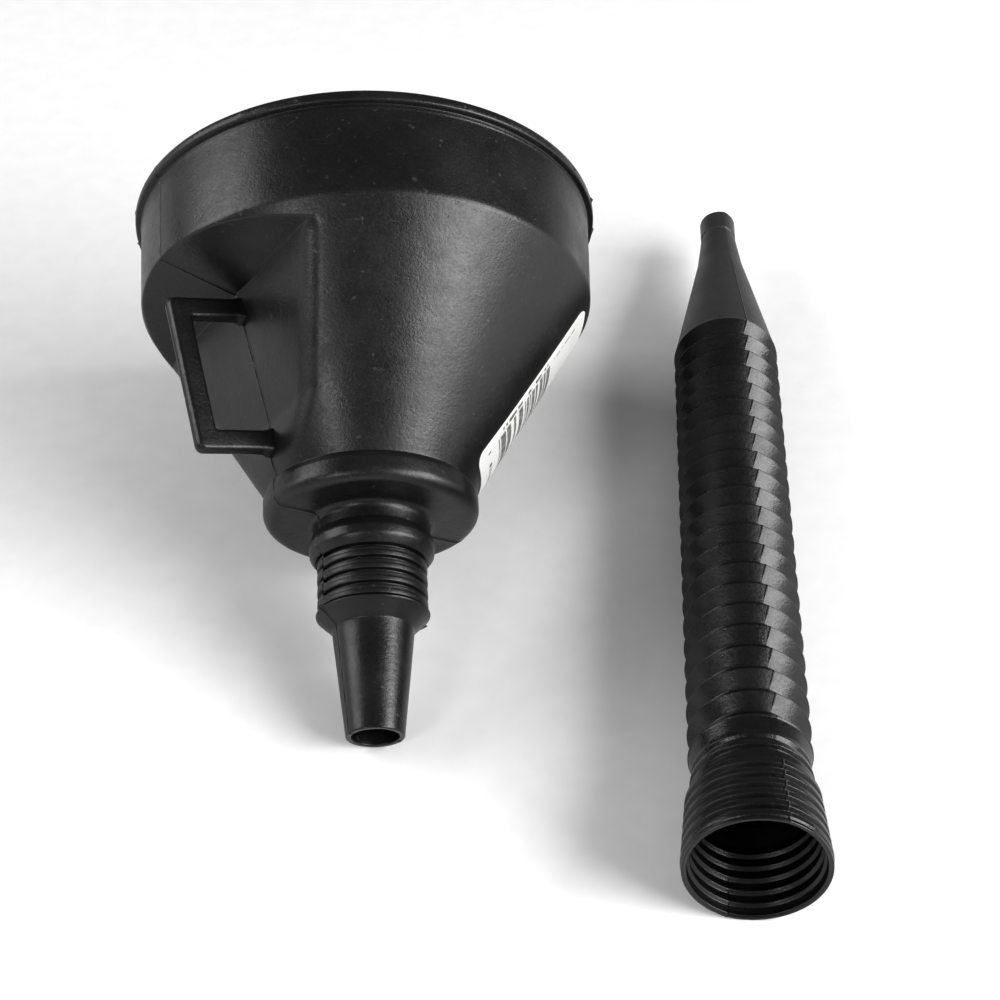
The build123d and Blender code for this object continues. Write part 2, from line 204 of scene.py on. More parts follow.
def mount(name):
    """Place, outward axis and dimensions of a mount of the record."""
    found = next(m for m in frame["record"]["mounts"] if m["name"] == name)
    return np.array(found["pos_m"], float), np.array(found["axis"], float), found["dims"]


def middle_of(node):
    """Mean corner of a CAD node."""
    corners = np.array([v.co for v in frame["nodes"][node].data.vertices], float)
    return corners.mean(axis=0)


rim_point, funnel_up, _ = mount("mouth_rim")
spout_point, _, _ = mount("spout_outlet")
rim_centre = spout_point + funnel_up * np.dot(rim_point - spout_point, funnel_up)
FUNNEL = Place(rim_centre, middle_of("funnel_handle") - rim_centre, funnel_up)

mouth_point, mouth_out, mouth_size = mount("socket_mouth")
FLEX = Place(mouth_point + mouth_out * MM * mouth_size["length_mm"] / 2, (1, 0, 0), -mouth_out)


# ============================ outlines ============================


def ease(share):
    """Smooth step from 0 to 1."""
    share = np.clip(share, 0, 1)
    return share * share * (3 - 2 * share)


def hump(value, centre, width):
    """A smooth hump of height 1 at centre."""
    return np.exp(-(((value - centre) / width) ** 2))


def rounded_outline(corners, step, closed=False):
    """Points along a line through (x, y, radius) corners, each corner rounded to its radius."""
    corners = [(np.array(c[:2], float), c[2]) for c in corners]
    count = len(corners)
    points = []
    for index, (here, radius) in enumerate(corners):
        if not closed and index in (0, count - 1):
            points.append(here)
            continue
        before = corners[index - 1][0] - here
        after = corners[(index + 1) % count][0] - here
        length_before, length_after = np.linalg.norm(before), np.linalg.norm(after)
        before, after = before / length_before, after / length_after
        turn = math.pi - math.acos(float(np.clip(np.dot(before, after), -1, 1)))
        if radius <= 0 or turn < 0.02:
            points.append(here)
            continue
        trim = min(radius * math.tan(turn / 2), 0.49 * length_before, 0.49 * length_after)
        radius = trim / math.tan(turn / 2)
        bisector = (before + after) / np.linalg.norm(before + after)
        centre = here + bisector * radius / math.cos(turn / 2)
        start, end = here + before * trim - centre, here + after * trim - centre
        pieces = max(2, math.ceil(turn / 0.26))
        for piece in range(pieces + 1):
            share = piece / pieces
            swing = (math.sin((1 - share) * turn) * start + math.sin(share * turn) * end) / math.sin(turn)
            points.append(centre + swing)
    return divided(points, step, closed)


def divided(points, step, closed=False):
    """The same line with its long runs divided so that none is longer than step."""
    points = [np.array(p, float) for p in points]
    ends = points[1:] + ([points[0]] if closed else [])
    line = []
    for start, end in zip(points, ends):
        pieces = max(1, math.ceil(np.linalg.norm(end - start) / step))
        line += [start + (end - start) * piece / pieces for piece in range(pieces)]
    if not closed:
        line.append(points[-1])
    return np.array(line)


def refined(line, low, high, step):
    """The line with extra points where its second coordinate lies between low and high."""
    fine = [line[0]]
    for start, end in zip(line[:-1], line[1:]):
        inside = min(start[1], end[1]) < high and max(start[1], end[1]) > low
        pieces = max(1, math.ceil(np.linalg.norm(end - start) / step)) if inside else 1
        fine += [start + (end - start) * piece / pieces for piece in range(1, pieces + 1)]
    return np.array(fine)


def seam_columns(count, seams):
    """Angles round a piece: evenly spaced, and closing in on each mould seam."""
    angles = set(np.round(np.linspace(0, 2 * math.pi, count, endpoint=False), 6))
    near = [math.radians(SEAM_STEP * k**SEAM_GROWTH) for k in range(1, SEAM_COLUMNS + 1)]
    for seam in seams:
        angles = {a for a in angles if abs((a - seam + math.pi) % (2 * math.pi) - math.pi) > near[-1] * 1.1}
        angles.add(seam % (2 * math.pi))
        for offset in near:
            angles.add((seam + offset) % (2 * math.pi))
            angles.add((seam - offset) % (2 * math.pi))
    return np.array(sorted(angles))


# ============================ mesh builders ============================


def mesh_object(name, points, faces, material, smooth=True):
    """A mesh object from row-frame points in metres."""
    mesh = bpy.data.meshes.new(name)
    mesh.from_pydata([tuple(p) for p in points], [], faces)
    mesh.polygons.foreach_set("use_smooth", [smooth] * len(mesh.polygons))
    mesh.update()
    mesh.materials.append(material)
    made = bpy.data.objects.new(name, mesh)
    bpy.context.scene.collection.objects.link(made)
    return made


def grid_faces(rows, columns, wrap_rows, wrap_columns, flip=False):
    """Quads of a grid of points stored row by row."""
    row_steps = range(rows if wrap_rows else rows - 1)
    column_steps = range(columns if wrap_columns else columns - 1)
    faces = []
    for row in row_steps:
        below = (row + 1) % rows
        for column in column_steps:
            beside = (column + 1) % columns
            quad = (
                row * columns + column,
                row * columns + beside,
                below * columns + beside,
                below * columns + column,
            )
            faces.append(quad[::-1] if flip else quad)
    return faces


def grid_normals(grid):
    """Outward unit normals of a grid of points that closes both ways."""
    along = np.roll(grid, -1, axis=0) - np.roll(grid, 1, axis=0)
    around = np.roll(grid, -1, axis=1) - np.roll(grid, 1, axis=1)
    normals = np.cross(around, along)
    return normals / np.maximum(np.linalg.norm(normals, axis=2, keepdims=True), 1e-9)


def torus_object(name, grid, place, material):
    """A closed ring of any section: grid is (section points, columns round, 3) in local millimetres."""
    rows, columns = grid.shape[:2]
    faces = grid_faces(rows, columns, True, True)
    return mesh_object(name, place.put(grid.reshape(-1, 3)), faces, material)


def ragged(values, seed, scale):
    """A cheap repeatable wobble between -1 and 1 along a line."""
    generator = np.random.default_rng(seed)
    total = np.zeros_like(values, float)
    for octave in range(5):
        phase = generator.uniform(0, 2 * math.pi)
        total += np.sin(values * scale * 1.9**octave + phase) / (octave + 1)
    return total / 2.3


# ============================ materials ============================


class Nodes:
    """Short-hand for wiring a material's node tree."""

    def __init__(self, name):
        self.material = bpy.data.materials.new(name)
        self.material.use_nodes = True
        self.tree = self.material.node_tree
        self.shader = self.tree.nodes["Principled BSDF"]

    def add(self, kind, **values):
        """A node of that kind, with its properties and then its sockets set by name."""
        node = self.tree.nodes.new(kind)
        for key, value in values.items():
            if hasattr(node, key):
                setattr(node, key, value)
            else:
                node.inputs[key.replace("_", " ")].default_value = value
        return node

    def link(self, source, target):
        """Wires an output socket to an input socket."""
        self.tree.links.new(source, target)

    def noise(self, scale, detail=4.0, roughness=0.55, stretch=(1, 1, 1)):
        """Noise over the piece's own coordinates, in features per metre."""
        place = self.add("ShaderNodeTexCoord")
        mapping = self.add("ShaderNodeMapping")
        mapping.inputs["Scale"].default_value = stretch
        self.link(place.outputs["Object"], mapping.inputs["Vector"])
        noise = self.add("ShaderNodeTexNoise", Scale=scale, Detail=detail, Roughness=roughness)
        self.link(mapping.outputs["Vector"], noise.inputs["Vector"])
        return noise.outputs["Fac"]

    def ramp(self, source, low, high, start, end):
        """Maps a value between low and high onto start to end."""
        node = self.add("ShaderNodeMapRange")
        node.inputs["From Min"].default_value = low
        node.inputs["From Max"].default_value = high
        node.inputs["To Min"].default_value = start
        node.inputs["To Max"].default_value = end
        self.link(source, node.inputs["Value"])
        return node.outputs["Result"]

    def spread(self, noise, start, end):
        """Stretches noise, most of which lies between 0.3 and 0.7, from start to end."""
        return self.ramp(noise, 0.3, 0.7, start, end)

    def math(self, operation, first, second=None):
        """A math node; each operand is a socket or a number."""
        node = self.add("ShaderNodeMath", operation=operation)
        for index, operand in enumerate((first, second)):
            if operand is None:
                continue
            if isinstance(operand, (int, float)):
                node.inputs[index].default_value = operand
            else:
                self.link(operand, node.inputs[index])
        return node.outputs["Value"]

    def mix(self, share, first, second):
        """A colour between two colours."""
        node = self.add("ShaderNodeMix", data_type="RGBA")
        self.link(share, node.inputs["Factor"])
        for socket, colour in ((node.inputs[6], first), (node.inputs[7], second)):
            if isinstance(colour, tuple):
                socket.default_value = colour
            else:
                self.link(colour, socket)
        return node.outputs[2]

    def bump(self, height, distance, strength=1.0, under=None):
        """A bump of that depth in metres, over another bump if one is given."""
        node = self.add("ShaderNodeBump", Strength=strength, Distance=distance)
        self.link(height, node.inputs["Height"])
        if under is not None:
            self.link(under, node.inputs["Normal"])
        return node.outputs["Normal"]


def grey(level):
    """An opaque grey."""
    return (level, level, level, 1)


SCUFF_GREY = (0.035, 0.035, 0.034, 1)


def moulded_plastic(name, dark, light, roughness, wear):
    """Black moulded plastic: cloudy sheen, fine grain, scratches and pale scuffs."""
    nodes = Nodes(name)
    clouds = nodes.noise(scale=28, detail=6, roughness=0.65)
    patches = nodes.noise(scale=90, detail=5, roughness=0.6)
    speckle = nodes.noise(scale=1100, detail=3, roughness=0.6)
    scratches = nodes.noise(scale=150, detail=8, roughness=0.8, stretch=(1, 6, 1))
    scratched = nodes.ramp(scratches, 0.60, 0.68, 0.0, wear)
    specks = nodes.ramp(nodes.noise(scale=520, detail=2, roughness=0.4), 0.70, 0.76, 0.0, wear)
    worn = nodes.math("MAXIMUM", nodes.math("MULTIPLY", scratched, 0.5), specks)

    shade = nodes.math("ADD", nodes.spread(clouds, 0.0, 0.6), nodes.spread(speckle, 0.0, 0.4))
    scuffed = nodes.mix(worn, nodes.mix(shade, dark, light), SCUFF_GREY)
    nodes.link(scuffed, nodes.shader.inputs["Base Color"])

    rough = nodes.spread(clouds, roughness - 0.08, roughness + 0.07)
    rough = nodes.math("ADD", rough, nodes.spread(patches, -0.05, 0.06))
    rough = nodes.math("ADD", rough, nodes.ramp(speckle, 0.3, 0.75, -0.04, 0.06))
    rough = nodes.math("ADD", rough, nodes.math("MULTIPLY", worn, 0.15))
    nodes.link(rough, nodes.shader.inputs["Roughness"])

    flow = nodes.bump(clouds, distance=0.0003)
    ripple = nodes.bump(patches, distance=0.0001, under=flow)
    fine = nodes.bump(speckle, distance=0.00007, under=ripple)
    scuffs = nodes.bump(worn, distance=0.00005, strength=0.8, under=fine)
    nodes.link(scuffs, nodes.shader.inputs["Normal"])
    nodes.shader.inputs["IOR"].default_value = 1.5
    return nodes.material


def label_paper():
    """White coated paper with generic bars, dashes and a rule in grey ink."""
    nodes = Nodes("label_paper")
    place = nodes.add("ShaderNodeUVMap", uv_map="label")
    split = nodes.add("ShaderNodeSeparateXYZ")
    nodes.link(place.outputs["UV"], split.inputs["Vector"])
    along = nodes.math("MULTIPLY", split.outputs["Y"], LABEL_LENGTH)
    across = nodes.math("MULTIPLY", split.outputs["X"], LABEL_WIDTH)

    def within(value, low, high):
        """1 where a value lies between two bounds."""
        above = nodes.math("GREATER_THAN", value, low)
        return nodes.math("MULTIPLY", above, nodes.math("LESS_THAN", value, high))

    def stripes(value, pitch, share):
        """1 on a random share of the cells of that pitch."""
        cell = nodes.math("FLOOR", nodes.math("DIVIDE", value, pitch))
        chance = nodes.add("ShaderNodeTexWhiteNoise", noise_dimensions="1D")
        nodes.link(cell, chance.inputs["W"])
        return nodes.math("LESS_THAN", chance.outputs["Value"], share)

    def patch(along_range, across_range, pattern):
        """A pattern inside a rectangle of the label, in millimetres from its corner."""
        inside = nodes.math("MULTIPLY", within(along, *along_range), within(across, *across_range))
        return nodes.math("MULTIPLY", inside, pattern)

    bars = patch((11.0, 43.0), (3.4, 28.0), stripes(along, 0.62, 0.5))
    dashes_over_bars = patch((12.0, 42.0), (1.2, 2.6), stripes(along, 0.9, 0.45))
    rule = patch((46.0, 61.0), (3.4, 4.0), stripes(along, 0.8, 0.7))
    dashes_beside_bars = patch((5.2, 6.8), (3.0, 22.0), stripes(across, 0.8, 0.5))
    ink = bars
    for printed in (dashes_over_bars, rule, dashes_beside_bars):
        ink = nodes.math("MAXIMUM", ink, printed)
    wear = nodes.spread(nodes.noise(scale=600, detail=4, roughness=0.6), 0.55, 0.95)
    inked = nodes.math("MULTIPLY", ink, wear)
    fibres = nodes.noise(scale=1800, detail=3, roughness=0.6)
    blotches = nodes.noise(scale=60, detail=3, roughness=0.5)
    paper = nodes.mix(nodes.spread(blotches, 0.0, 1.0), (0.52, 0.52, 0.51, 1), (0.60, 0.60, 0.59, 1))
    nodes.link(nodes.mix(inked, paper, grey(0.02)), nodes.shader.inputs["Base Color"])
    nodes.link(nodes.spread(fibres, 0.42, 0.55), nodes.shader.inputs["Roughness"])
    nodes.link(nodes.bump(fibres, distance=0.00002), nodes.shader.inputs["Normal"])
    return nodes.material


def gauze_metal():
    """Drawn steel wire, slightly dull."""
    nodes = Nodes("gauze_metal")
    tarnish = nodes.noise(scale=400, detail=3, roughness=0.6)
    colour = nodes.mix(nodes.spread(tarnish, 0.0, 1.0), (0.42, 0.42, 0.43, 1), grey(0.62))
    nodes.link(colour, nodes.shader.inputs["Base Color"])
    nodes.link(nodes.spread(tarnish, 0.25, 0.42), nodes.shader.inputs["Roughness"])
    nodes.link(nodes.bump(tarnish, distance=0.00001), nodes.shader.inputs["Normal"])
    nodes.shader.inputs["Metallic"].default_value = 1.0
    return nodes.material


def studio_floor():
    """Pale, even floor with the slightest tooth."""
    nodes = Nodes("studio_floor")
    grain = nodes.noise(scale=120, detail=3, roughness=0.5)
    colour = nodes.mix(nodes.spread(grain, 0.0, 1.0), grey(0.90), grey(0.93))
    nodes.link(colour, nodes.shader.inputs["Base Color"])
    nodes.shader.inputs["Roughness"].default_value = 0.9
    nodes.shader.inputs["Specular IOR Level"].default_value = 0.1
    return nodes.material


funnel_plastic = moulded_plastic(
    "funnel_plastic", dark=grey(0.004), light=(0.009, 0.009, 0.0095, 1), roughness=0.36, wear=0.8
)
flex_plastic = moulded_plastic(
    "flex_plastic", dark=grey(0.003), light=grey(0.006), roughness=0.32, wear=0.35
)
nozzle_plastic = moulded_plastic(
    "nozzle_plastic", dark=grey(0.032), light=grey(0.046), roughness=0.5, wear=0.25
)
strainer_plastic = moulded_plastic(
    "strainer_plastic", dark=grey(0.006), light=grey(0.012), roughness=0.42, wear=0.3
)


# ============================ funnel moulding ============================


def cut_distance(depth):
    """Distance from the axis to the flat cut, along its ledge and down its face, at each depth."""
    corners = (CUT_LEDGE, CUT_TOP, CUT_KNEE, CUT_FOOT)
    return np.interp(depth, [corner[1] for corner in corners], [corner[0] for corner in corners])


def smooth_min(first, second, blend):
    """The lesser of two lengths, rounded over where they are within blend of each other."""
    share = np.clip(0.5 + 0.5 * (second - first) / blend, 0, 1)
    return second * (1 - share) + first * share - blend * share * (1 - share)


def cut_in(radius, depth, azimuth, inset):
    """Radius of the moulding once the flat cut is taken, inset from the cut's surface."""
    facing = np.maximum(np.cos(azimuth), 0.02)
    face = (cut_distance(depth + inset) - inset) / facing
    depths = [CUT_TOP[1] - 1.5, CUT_TOP[1] + 2, CUT_FOOT[1]]
    blend = np.interp(depth + inset, depths, [CUT_BLEND_LEDGE, CUT_BLEND_TOP, CUT_BLEND_FOOT])
    share = 1 - ease((depth - (CONE_FOOT_DEPTH - 1.6)) / 1.6)
    return radius + share * (smooth_min(radius, face, blend) - radius)


def funnel_outlines():
    """Outer and inner outlines of the moulding as (radius, depth) lines, rim to spout and back."""
    outer = [
        (SKIRT_TOP_RADIUS - WALL, 0, 0),
        (RIM_RADIUS - 0.6, 0, 0.9),
        (RIM_RADIUS, 1.6, 1.6),
        (RIM_RADIUS - 0.2, RIM_HEIGHT - 0.4, 0.8),
        (SKIRT_TOP_RADIUS - 0.1, RIM_HEIGHT, 0.3),
        (SKIRT_TOP_RADIUS - 0.25, RIM_HEIGHT + 1.0, 0.15),
        (SKIRT_TOP_RADIUS + 0.15, RIM_HEIGHT + 1.25, 0.12),
        (SKIRT_TOP_RADIUS - 0.05, RIM_HEIGHT + 1.8, 0.4),
        (SKIRT_RADIUS, SKIRT_DEPTH, SKIRT_BEND),
        (CONE_FOOT_RADIUS, CONE_FOOT_DEPTH, 0.7),
        (COLLAR_RADIUS - 0.5, CONE_FOOT_DEPTH + 0.3, 0.5),
        (COLLAR_RADIUS, CONE_FOOT_DEPTH + 2.0, 1.0),
        (COLLAR_RADIUS, COLLAR_DEPTH, 3.6),
        (NECK_RADIUS, COLLAR_DEPTH, 3.0),
        (NECK_RADIUS - 0.1, BULGE_TOP_DEPTH - 0.5, 0.2),
        (NECK_RADIUS + 0.55, BULGE_TOP_DEPTH - 0.1, 0.3),
        (BULGE_RADIUS, BULGE_TOP_DEPTH + 2.4, 2.4),
        (BULGE_RADIUS - 0.2, BULGE_DEPTH - 2.4, 2.2),
        (THREAD_RADIUS + 0.4, BULGE_DEPTH, 0.5),
        (THREAD_ROOT_RADIUS - 0.3, BULGE_DEPTH + 0.1, 0.2),
    ]
    for turn in range(THREAD_TURNS):
        top = BULGE_DEPTH + turn * THREAD_PITCH
        outer += [
            (THREAD_ROOT_RADIUS - 0.3, top + 0.9, 0.2),
            (THREAD_RADIUS - 0.05, top + 1.1, 0.28),
            (THREAD_RADIUS - 0.15, top + 2.1, 0.6),
            (THREAD_RADIUS, top + 2.5, 0.5),
            (THREAD_RADIUS - 0.1, top + 3.7, 0.45),
            (THREAD_ROOT_RADIUS - 0.3, top + 4.0, 0.2),
        ]
    outer += [
        (THREAD_ROOT_RADIUS - 0.3, FLANGE_DEPTH - 0.1, 0.15),
        (FLANGE_RADIUS, FLANGE_DEPTH, 0.15),
        (FLANGE_RADIUS - 0.1, FLANGE_DEPTH + 0.5, 0.3),
        (SPOUT_ROOT_RADIUS, SPOUT_ROOT_DEPTH, 1.2),
        (SPOUT_RADIUS, SPOUT_DEPTH, 0.45),
    ]
    inner = [
        (SPOUT_BORE_RADIUS, SPOUT_DEPTH, 0.45),
        (SPOUT_BORE_RADIUS, SPOUT_DEPTH - SPOUT_LAND, 4.0),
        (SPOUT_ROOT_RADIUS - WALL, SPOUT_ROOT_DEPTH, 3.0),
        (NECK_BORE_RADIUS, FLANGE_DEPTH, 2.0),
        (NECK_BORE_RADIUS, SEAT_DEPTH, 0.5),
        (SEAT_RADIUS, SEAT_DEPTH, 0.6),
        (SEAT_RADIUS, CONE_FOOT_DEPTH + 1.4, 0.5),
        (CONE_FOOT_RADIUS - WALL * 1.17, CONE_FOOT_DEPTH, 0.8),
        (SKIRT_RADIUS - WALL, SKIRT_DEPTH, SKIRT_BEND),
    ]
    return rounded_outline(outer + inner, 1.3, closed=True)


def add_flash(grid, outer_rows, azimuth):
    """Raises the parting line, ragged along the neck and with a groove beside it, and leaves small rags of
    flash at the rim and a spike at the flange.
    """
    radius = np.hypot(grid[..., 0], grid[..., 1])
    depth = -grid[..., 2]
    normals = grid_normals(grid)
    lateral = np.abs(grid[..., 1])
    wobble = 0.75 + 0.25 * ragged(depth, 3, 0.9)
    neck = ease((depth - COLLAR_DEPTH) / 4) * (1 - ease((depth - FLANGE_DEPTH) / 3))
    ridge = hump(lateral, 0, SEAM_WIDTH) - GROOVE_DEPTH * hump(lateral, GROOVE_OFFSET, GROOVE_WIDTH)
    height = SEAM_HEIGHT * (1 + 1.3 * neck * ragged(depth, 8, 2.3)) * ridge * wobble
    away = np.minimum(1, (RIM_RADIUS - radius) / 0.5)
    grid += normals * (height * outer_rows * np.clip(away, 0.15, 1))[..., None]
    rim = hump(depth, RIM_FLASH_DEPTH, 0.5) * (radius > RIM_RADIUS - 0.8)
    rags = np.maximum(ragged(azimuth * 9, 21, 3.0) - 0.45, 0) * 2.0
    spike = hump(depth, FLANGE_DEPTH, 0.7) * hump(lateral, 0, 0.9)
    outward = np.stack([grid[..., 0], grid[..., 1], np.zeros_like(depth)], axis=-1) / radius[..., None]
    grid += outward * ((rim * rags[None, :] + spike * FLANGE_SPIKE) * outer_rows)[..., None]
    return grid


def funnel_moulding():
    """The funnel's one moulding: rim, skirt, cone with its flat cut, collar, neck and spout."""
    loop = funnel_outlines()
    line = refined(np.vstack([loop, loop[:1]]), CUT_LEDGE[1] - 3, CUT_TOP[1] + 1, 0.22)[:-1]
    innermost_of_the_deepest = int(np.argmax(line[:, 1] - 0.01 * line[:, 0]))
    outer = np.arange(len(line)) <= innermost_of_the_deepest
    azimuth = seam_columns(400, (0.0, math.pi))
    radius = np.repeat(line[:, :1], len(azimuth), axis=1)
    depth = np.repeat(line[:, 1:], len(azimuth), axis=1)
    other_half = (azimuth > math.pi)[None, :]
    rib_zone = ease((depth - BULGE_DEPTH + 0.3) / 0.8) * (1 - ease((depth - FLANGE_DEPTH + 1.2) / 0.8))
    depth = depth - RIB_SHIFT * rib_zone * other_half * outer[:, None]
    round_way = np.repeat(azimuth[None, :], len(line), axis=0)
    inset = np.where(outer, 0.0, WALL)[:, None]
    in_cut = (depth > CUT_LEDGE[1] - WALL) & (depth < CUT_FOOT[1])
    radius = np.where(in_cut, cut_in(radius, depth, round_way, inset), radius)
    grid = np.stack([radius * np.cos(round_way), radius * np.sin(round_way), -depth], axis=-1)
    grid = add_flash(grid, outer[:, None].astype(float), azimuth)
    made = torus_object("funnel_moulding", grid, FUNNEL, funnel_plastic)
    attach(made, "funnel")
    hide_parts("funnel_body", "funnel_neck")


def handle_edges():
    """Outer and inner edge of the handle's bracket as matching (distance, depth) lines."""
    top_root = np.array((0.0, HANDLE_TOP_AXIS_DEPTH))
    top = np.array(HANDLE_TOP)
    foot = np.array(HANDLE_FOOT)
    foot_root = np.array((0.0, HANDLE_FOOT_AXIS_DEPTH))

    def inward(start, end):
        along = (end - start) / np.linalg.norm(end - start)
        return np.array((-along[1], along[0]))

    def crossing(point_a, way_a, point_b, way_b):
        solved = np.linalg.solve(np.array([way_a, -way_b]).T, point_b - point_a)
        return point_a + way_a * solved[0]

    sides = [(top_root, top), (top, foot), (foot, foot_root)]
    inner_lines = [(start + inward(start, end) * HANDLE_BAR, end - start) for start, end in sides]
    inner_top = crossing(*inner_lines[0], *inner_lines[1])
    inner_foot = crossing(*inner_lines[1], *inner_lines[2])

    def at_distance(start, way, distance):
        return start + way * (distance - start[0]) / way[0]

    panel_top = cut_distance(HANDLE_TOP[1]) - HANDLE_SINK
    panel_foot = cut_distance(HANDLE_FOOT[1]) - HANDLE_SINK
    outer = [
        at_distance(top_root, top - top_root, panel_top),
        top,
        foot,
        at_distance(foot, foot_root - foot, panel_foot),
    ]
    inner = [
        at_distance(inner_top, inner_lines[0][1], panel_top),
        inner_top,
        inner_foot,
        at_distance(inner_foot, inner_lines[2][1], panel_foot),
    ]
    return outer, inner


def rounded_run(corners, radius, arm_points, bar_points, bend_points):
    """A bracket line with a fixed number of points on each arm, bend and bar."""
    start, first, second, end = corners

    def bend(before, here, after):
        into, out = here - before, after - here
        into, out = into / np.linalg.norm(into), out / np.linalg.norm(out)
        turn = math.acos(float(np.clip(np.dot(into, out), -1, 1)))
        trim = radius * math.tan(turn / 2)
        entry, leave = here - into * trim, here + out * trim
        curve = []
        for step in range(bend_points + 1):
            share = step / bend_points
            curve.append((1 - share) ** 2 * entry + 2 * share * (1 - share) * here + share**2 * leave)
        return curve

    def straight(from_point, to_point, count):
        return [from_point + (to_point - from_point) * step / count for step in range(count)]

    first_bend, second_bend = bend(start, first, second), bend(first, second, end)
    points = straight(start, first_bend[0], arm_points) + first_bend[:-1]
    points += straight(first_bend[-1], second_bend[0], bar_points) + second_bend[:-1]
    points += straight(second_bend[-1], end, arm_points) + [end]
    return np.array(points)


def handle_section():
    """Section of the handle's bar as (side, inset from it, height) points round it."""
    half = HANDLE_THICKNESS / 2
    section = []
    for side in (1, -1):
        for angle in np.linspace(-math.pi / 2, math.pi / 2, 15):
            across, up = math.cos(angle), math.sin(angle)
            tall = up * HANDLE_EDGE + math.copysign(half - HANDLE_EDGE, up) * min(1, abs(up) * 3)
            flash = HANDLE_FLASH * hump(tall, 0, HANDLE_FLASH_WIDTH)
            inset = HANDLE_EDGE * (1 - across) + HANDLE_DRAFT * abs(tall) / half - flash
            section.append((side, inset, tall * side))
    return section


def handle():
    """The bracket handle, with rounded edges, a flash line round its middle and flared roots."""
    outer_corners, inner_corners = handle_edges()
    counts = {"arm_points": 14, "bar_points": 26, "bend_points": 6}
    outer = rounded_run(outer_corners, HANDLE_BEND, **counts)
    inner = rounded_run(inner_corners, HANDLE_INNER_BEND, **counts)
    section = handle_section()
    rows = []
    for out_point, in_point in zip(outer, inner):
        across = out_point - in_point
        width = np.linalg.norm(across)
        unit = across / width
        middle = (out_point + in_point) / 2
        root = middle[0] - float(cut_distance(middle[1]))
        flare = 1 + 0.28 * math.exp(-max(root, 0.0) / 1.1)
        ring = []
        for side, inset, height in section:
            reach = side * (width / 2 - inset) * flare
            point = middle + unit * reach
            ring.append((point[0], height * flare, -point[1]))
        rows.append(ring)
    grid = np.array(rows)
    count_rows, count_columns = grid.shape[:2]
    faces = grid_faces(count_rows, count_columns, False, True)
    faces.append(tuple(range(count_columns))[::-1])
    last = (count_rows - 1) * count_columns
    faces.append(tuple(last + column for column in range(count_columns)))
    made = mesh_object("funnel_bracket_handle", FUNNEL.put(grid.reshape(-1, 3)), faces, funnel_plastic)
    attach(made, "funnel")
    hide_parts("funnel_handle")


# ============================ label ============================


CONE_SLOPE = math.atan2(SKIRT_RADIUS - CONE_FOOT_RADIUS, CONE_FOOT_DEPTH - SKIRT_DEPTH)


def cone_radius(depth):
    """Radius of the cone at a depth."""
    fall = (depth - SKIRT_DEPTH) / (CONE_FOOT_DEPTH - SKIRT_DEPTH)
    return SKIRT_RADIUS + fall * (CONE_FOOT_RADIUS - SKIRT_RADIUS)


def on_cone(points, lift):
    """Drops points along the cone's normal at the label's middle onto the cone, plus a lift."""
    normal = np.array(
        (
            math.cos(CONE_SLOPE) * math.cos(LABEL_AZIMUTH),
            math.cos(CONE_SLOPE) * math.sin(LABEL_AZIMUTH),
            -math.sin(CONE_SLOPE),
        )
    )
    points = np.array(points, float)
    for _ in range(30):
        radius = np.hypot(points[:, 0], points[:, 1])
        gap = (radius - cone_radius(-points[:, 2])) * math.cos(CONE_SLOPE) - lift
        points = points - gap[:, None] * normal
    return points


def label():
    """The rounded paper label, bent round the cone."""
    radius = cone_radius(LABEL_MIDDLE_DEPTH)
    outward = np.array((math.cos(LABEL_AZIMUTH), math.sin(LABEL_AZIMUTH), 0))
    sideways = np.array((-math.sin(LABEL_AZIMUTH), math.cos(LABEL_AZIMUTH), 0))
    uphill = outward * math.sin(CONE_SLOPE) + np.array((0, 0, math.cos(CONE_SLOPE)))
    middle = outward * radius - np.array((0, 0, LABEL_MIDDLE_DEPTH))
    half_length, half_width = LABEL_LENGTH / 2, LABEL_WIDTH / 2
    corner_steps = [LABEL_CORNER * (1 - math.cos(math.radians(a))) for a in range(0, 91, 10)]
    stations = [-half_length + step for step in corner_steps]
    stations += list(np.linspace(-half_length + LABEL_CORNER, half_length - LABEL_CORNER, 40)[1:-1])
    stations += [half_length - step for step in reversed(corner_steps)]
    columns = 26
    rows = []
    coordinates = []
    for station in stations:
        into_corner = max(0.0, abs(station) - (half_length - LABEL_CORNER))
        corner_reach = math.sqrt(max(LABEL_CORNER**2 - into_corner**2, 0.0004))
        width = half_width - LABEL_CORNER + corner_reach
        for share in np.linspace(-1, 1, columns):
            rows.append(middle + sideways * share * width + uphill * station)
            coordinates.append((0.5 + share * width / LABEL_WIDTH, 0.5 + station / LABEL_LENGTH))
    count = len(stations)
    under = on_cone(rows, LABEL_LIFT)
    upper = on_cone(rows, LABEL_LIFT + LABEL_THICKNESS)
    ring = []
    ring_coordinates = []
    for row in range(count):
        first, last = row * columns, (row + 1) * columns
        ring += list(upper[first:last]) + list(under[first:last][::-1])
        ring_coordinates += coordinates[first:last] + coordinates[first:last][::-1]
    around = 2 * columns
    faces = grid_faces(count, around, False, True)
    for base, flip in ((0, True), ((count - 1) * around, False)):
        for column in range(columns - 1):
            opposite = base + around - 1 - column
            quad = (base + column, base + column + 1, opposite - 1, opposite)
            faces.append(quad if flip else quad[::-1])
    made = mesh_object("paper_label", FUNNEL.put(np.array(ring)), faces, label_paper())
    layer = made.data.uv_layers.new(name="label")
    for loop in made.data.loops:
        layer.data[loop.index].uv = ring_coordinates[loop.vertex_index]
    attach(made, "funnel")
    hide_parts("label")


# ============================ strainer ============================


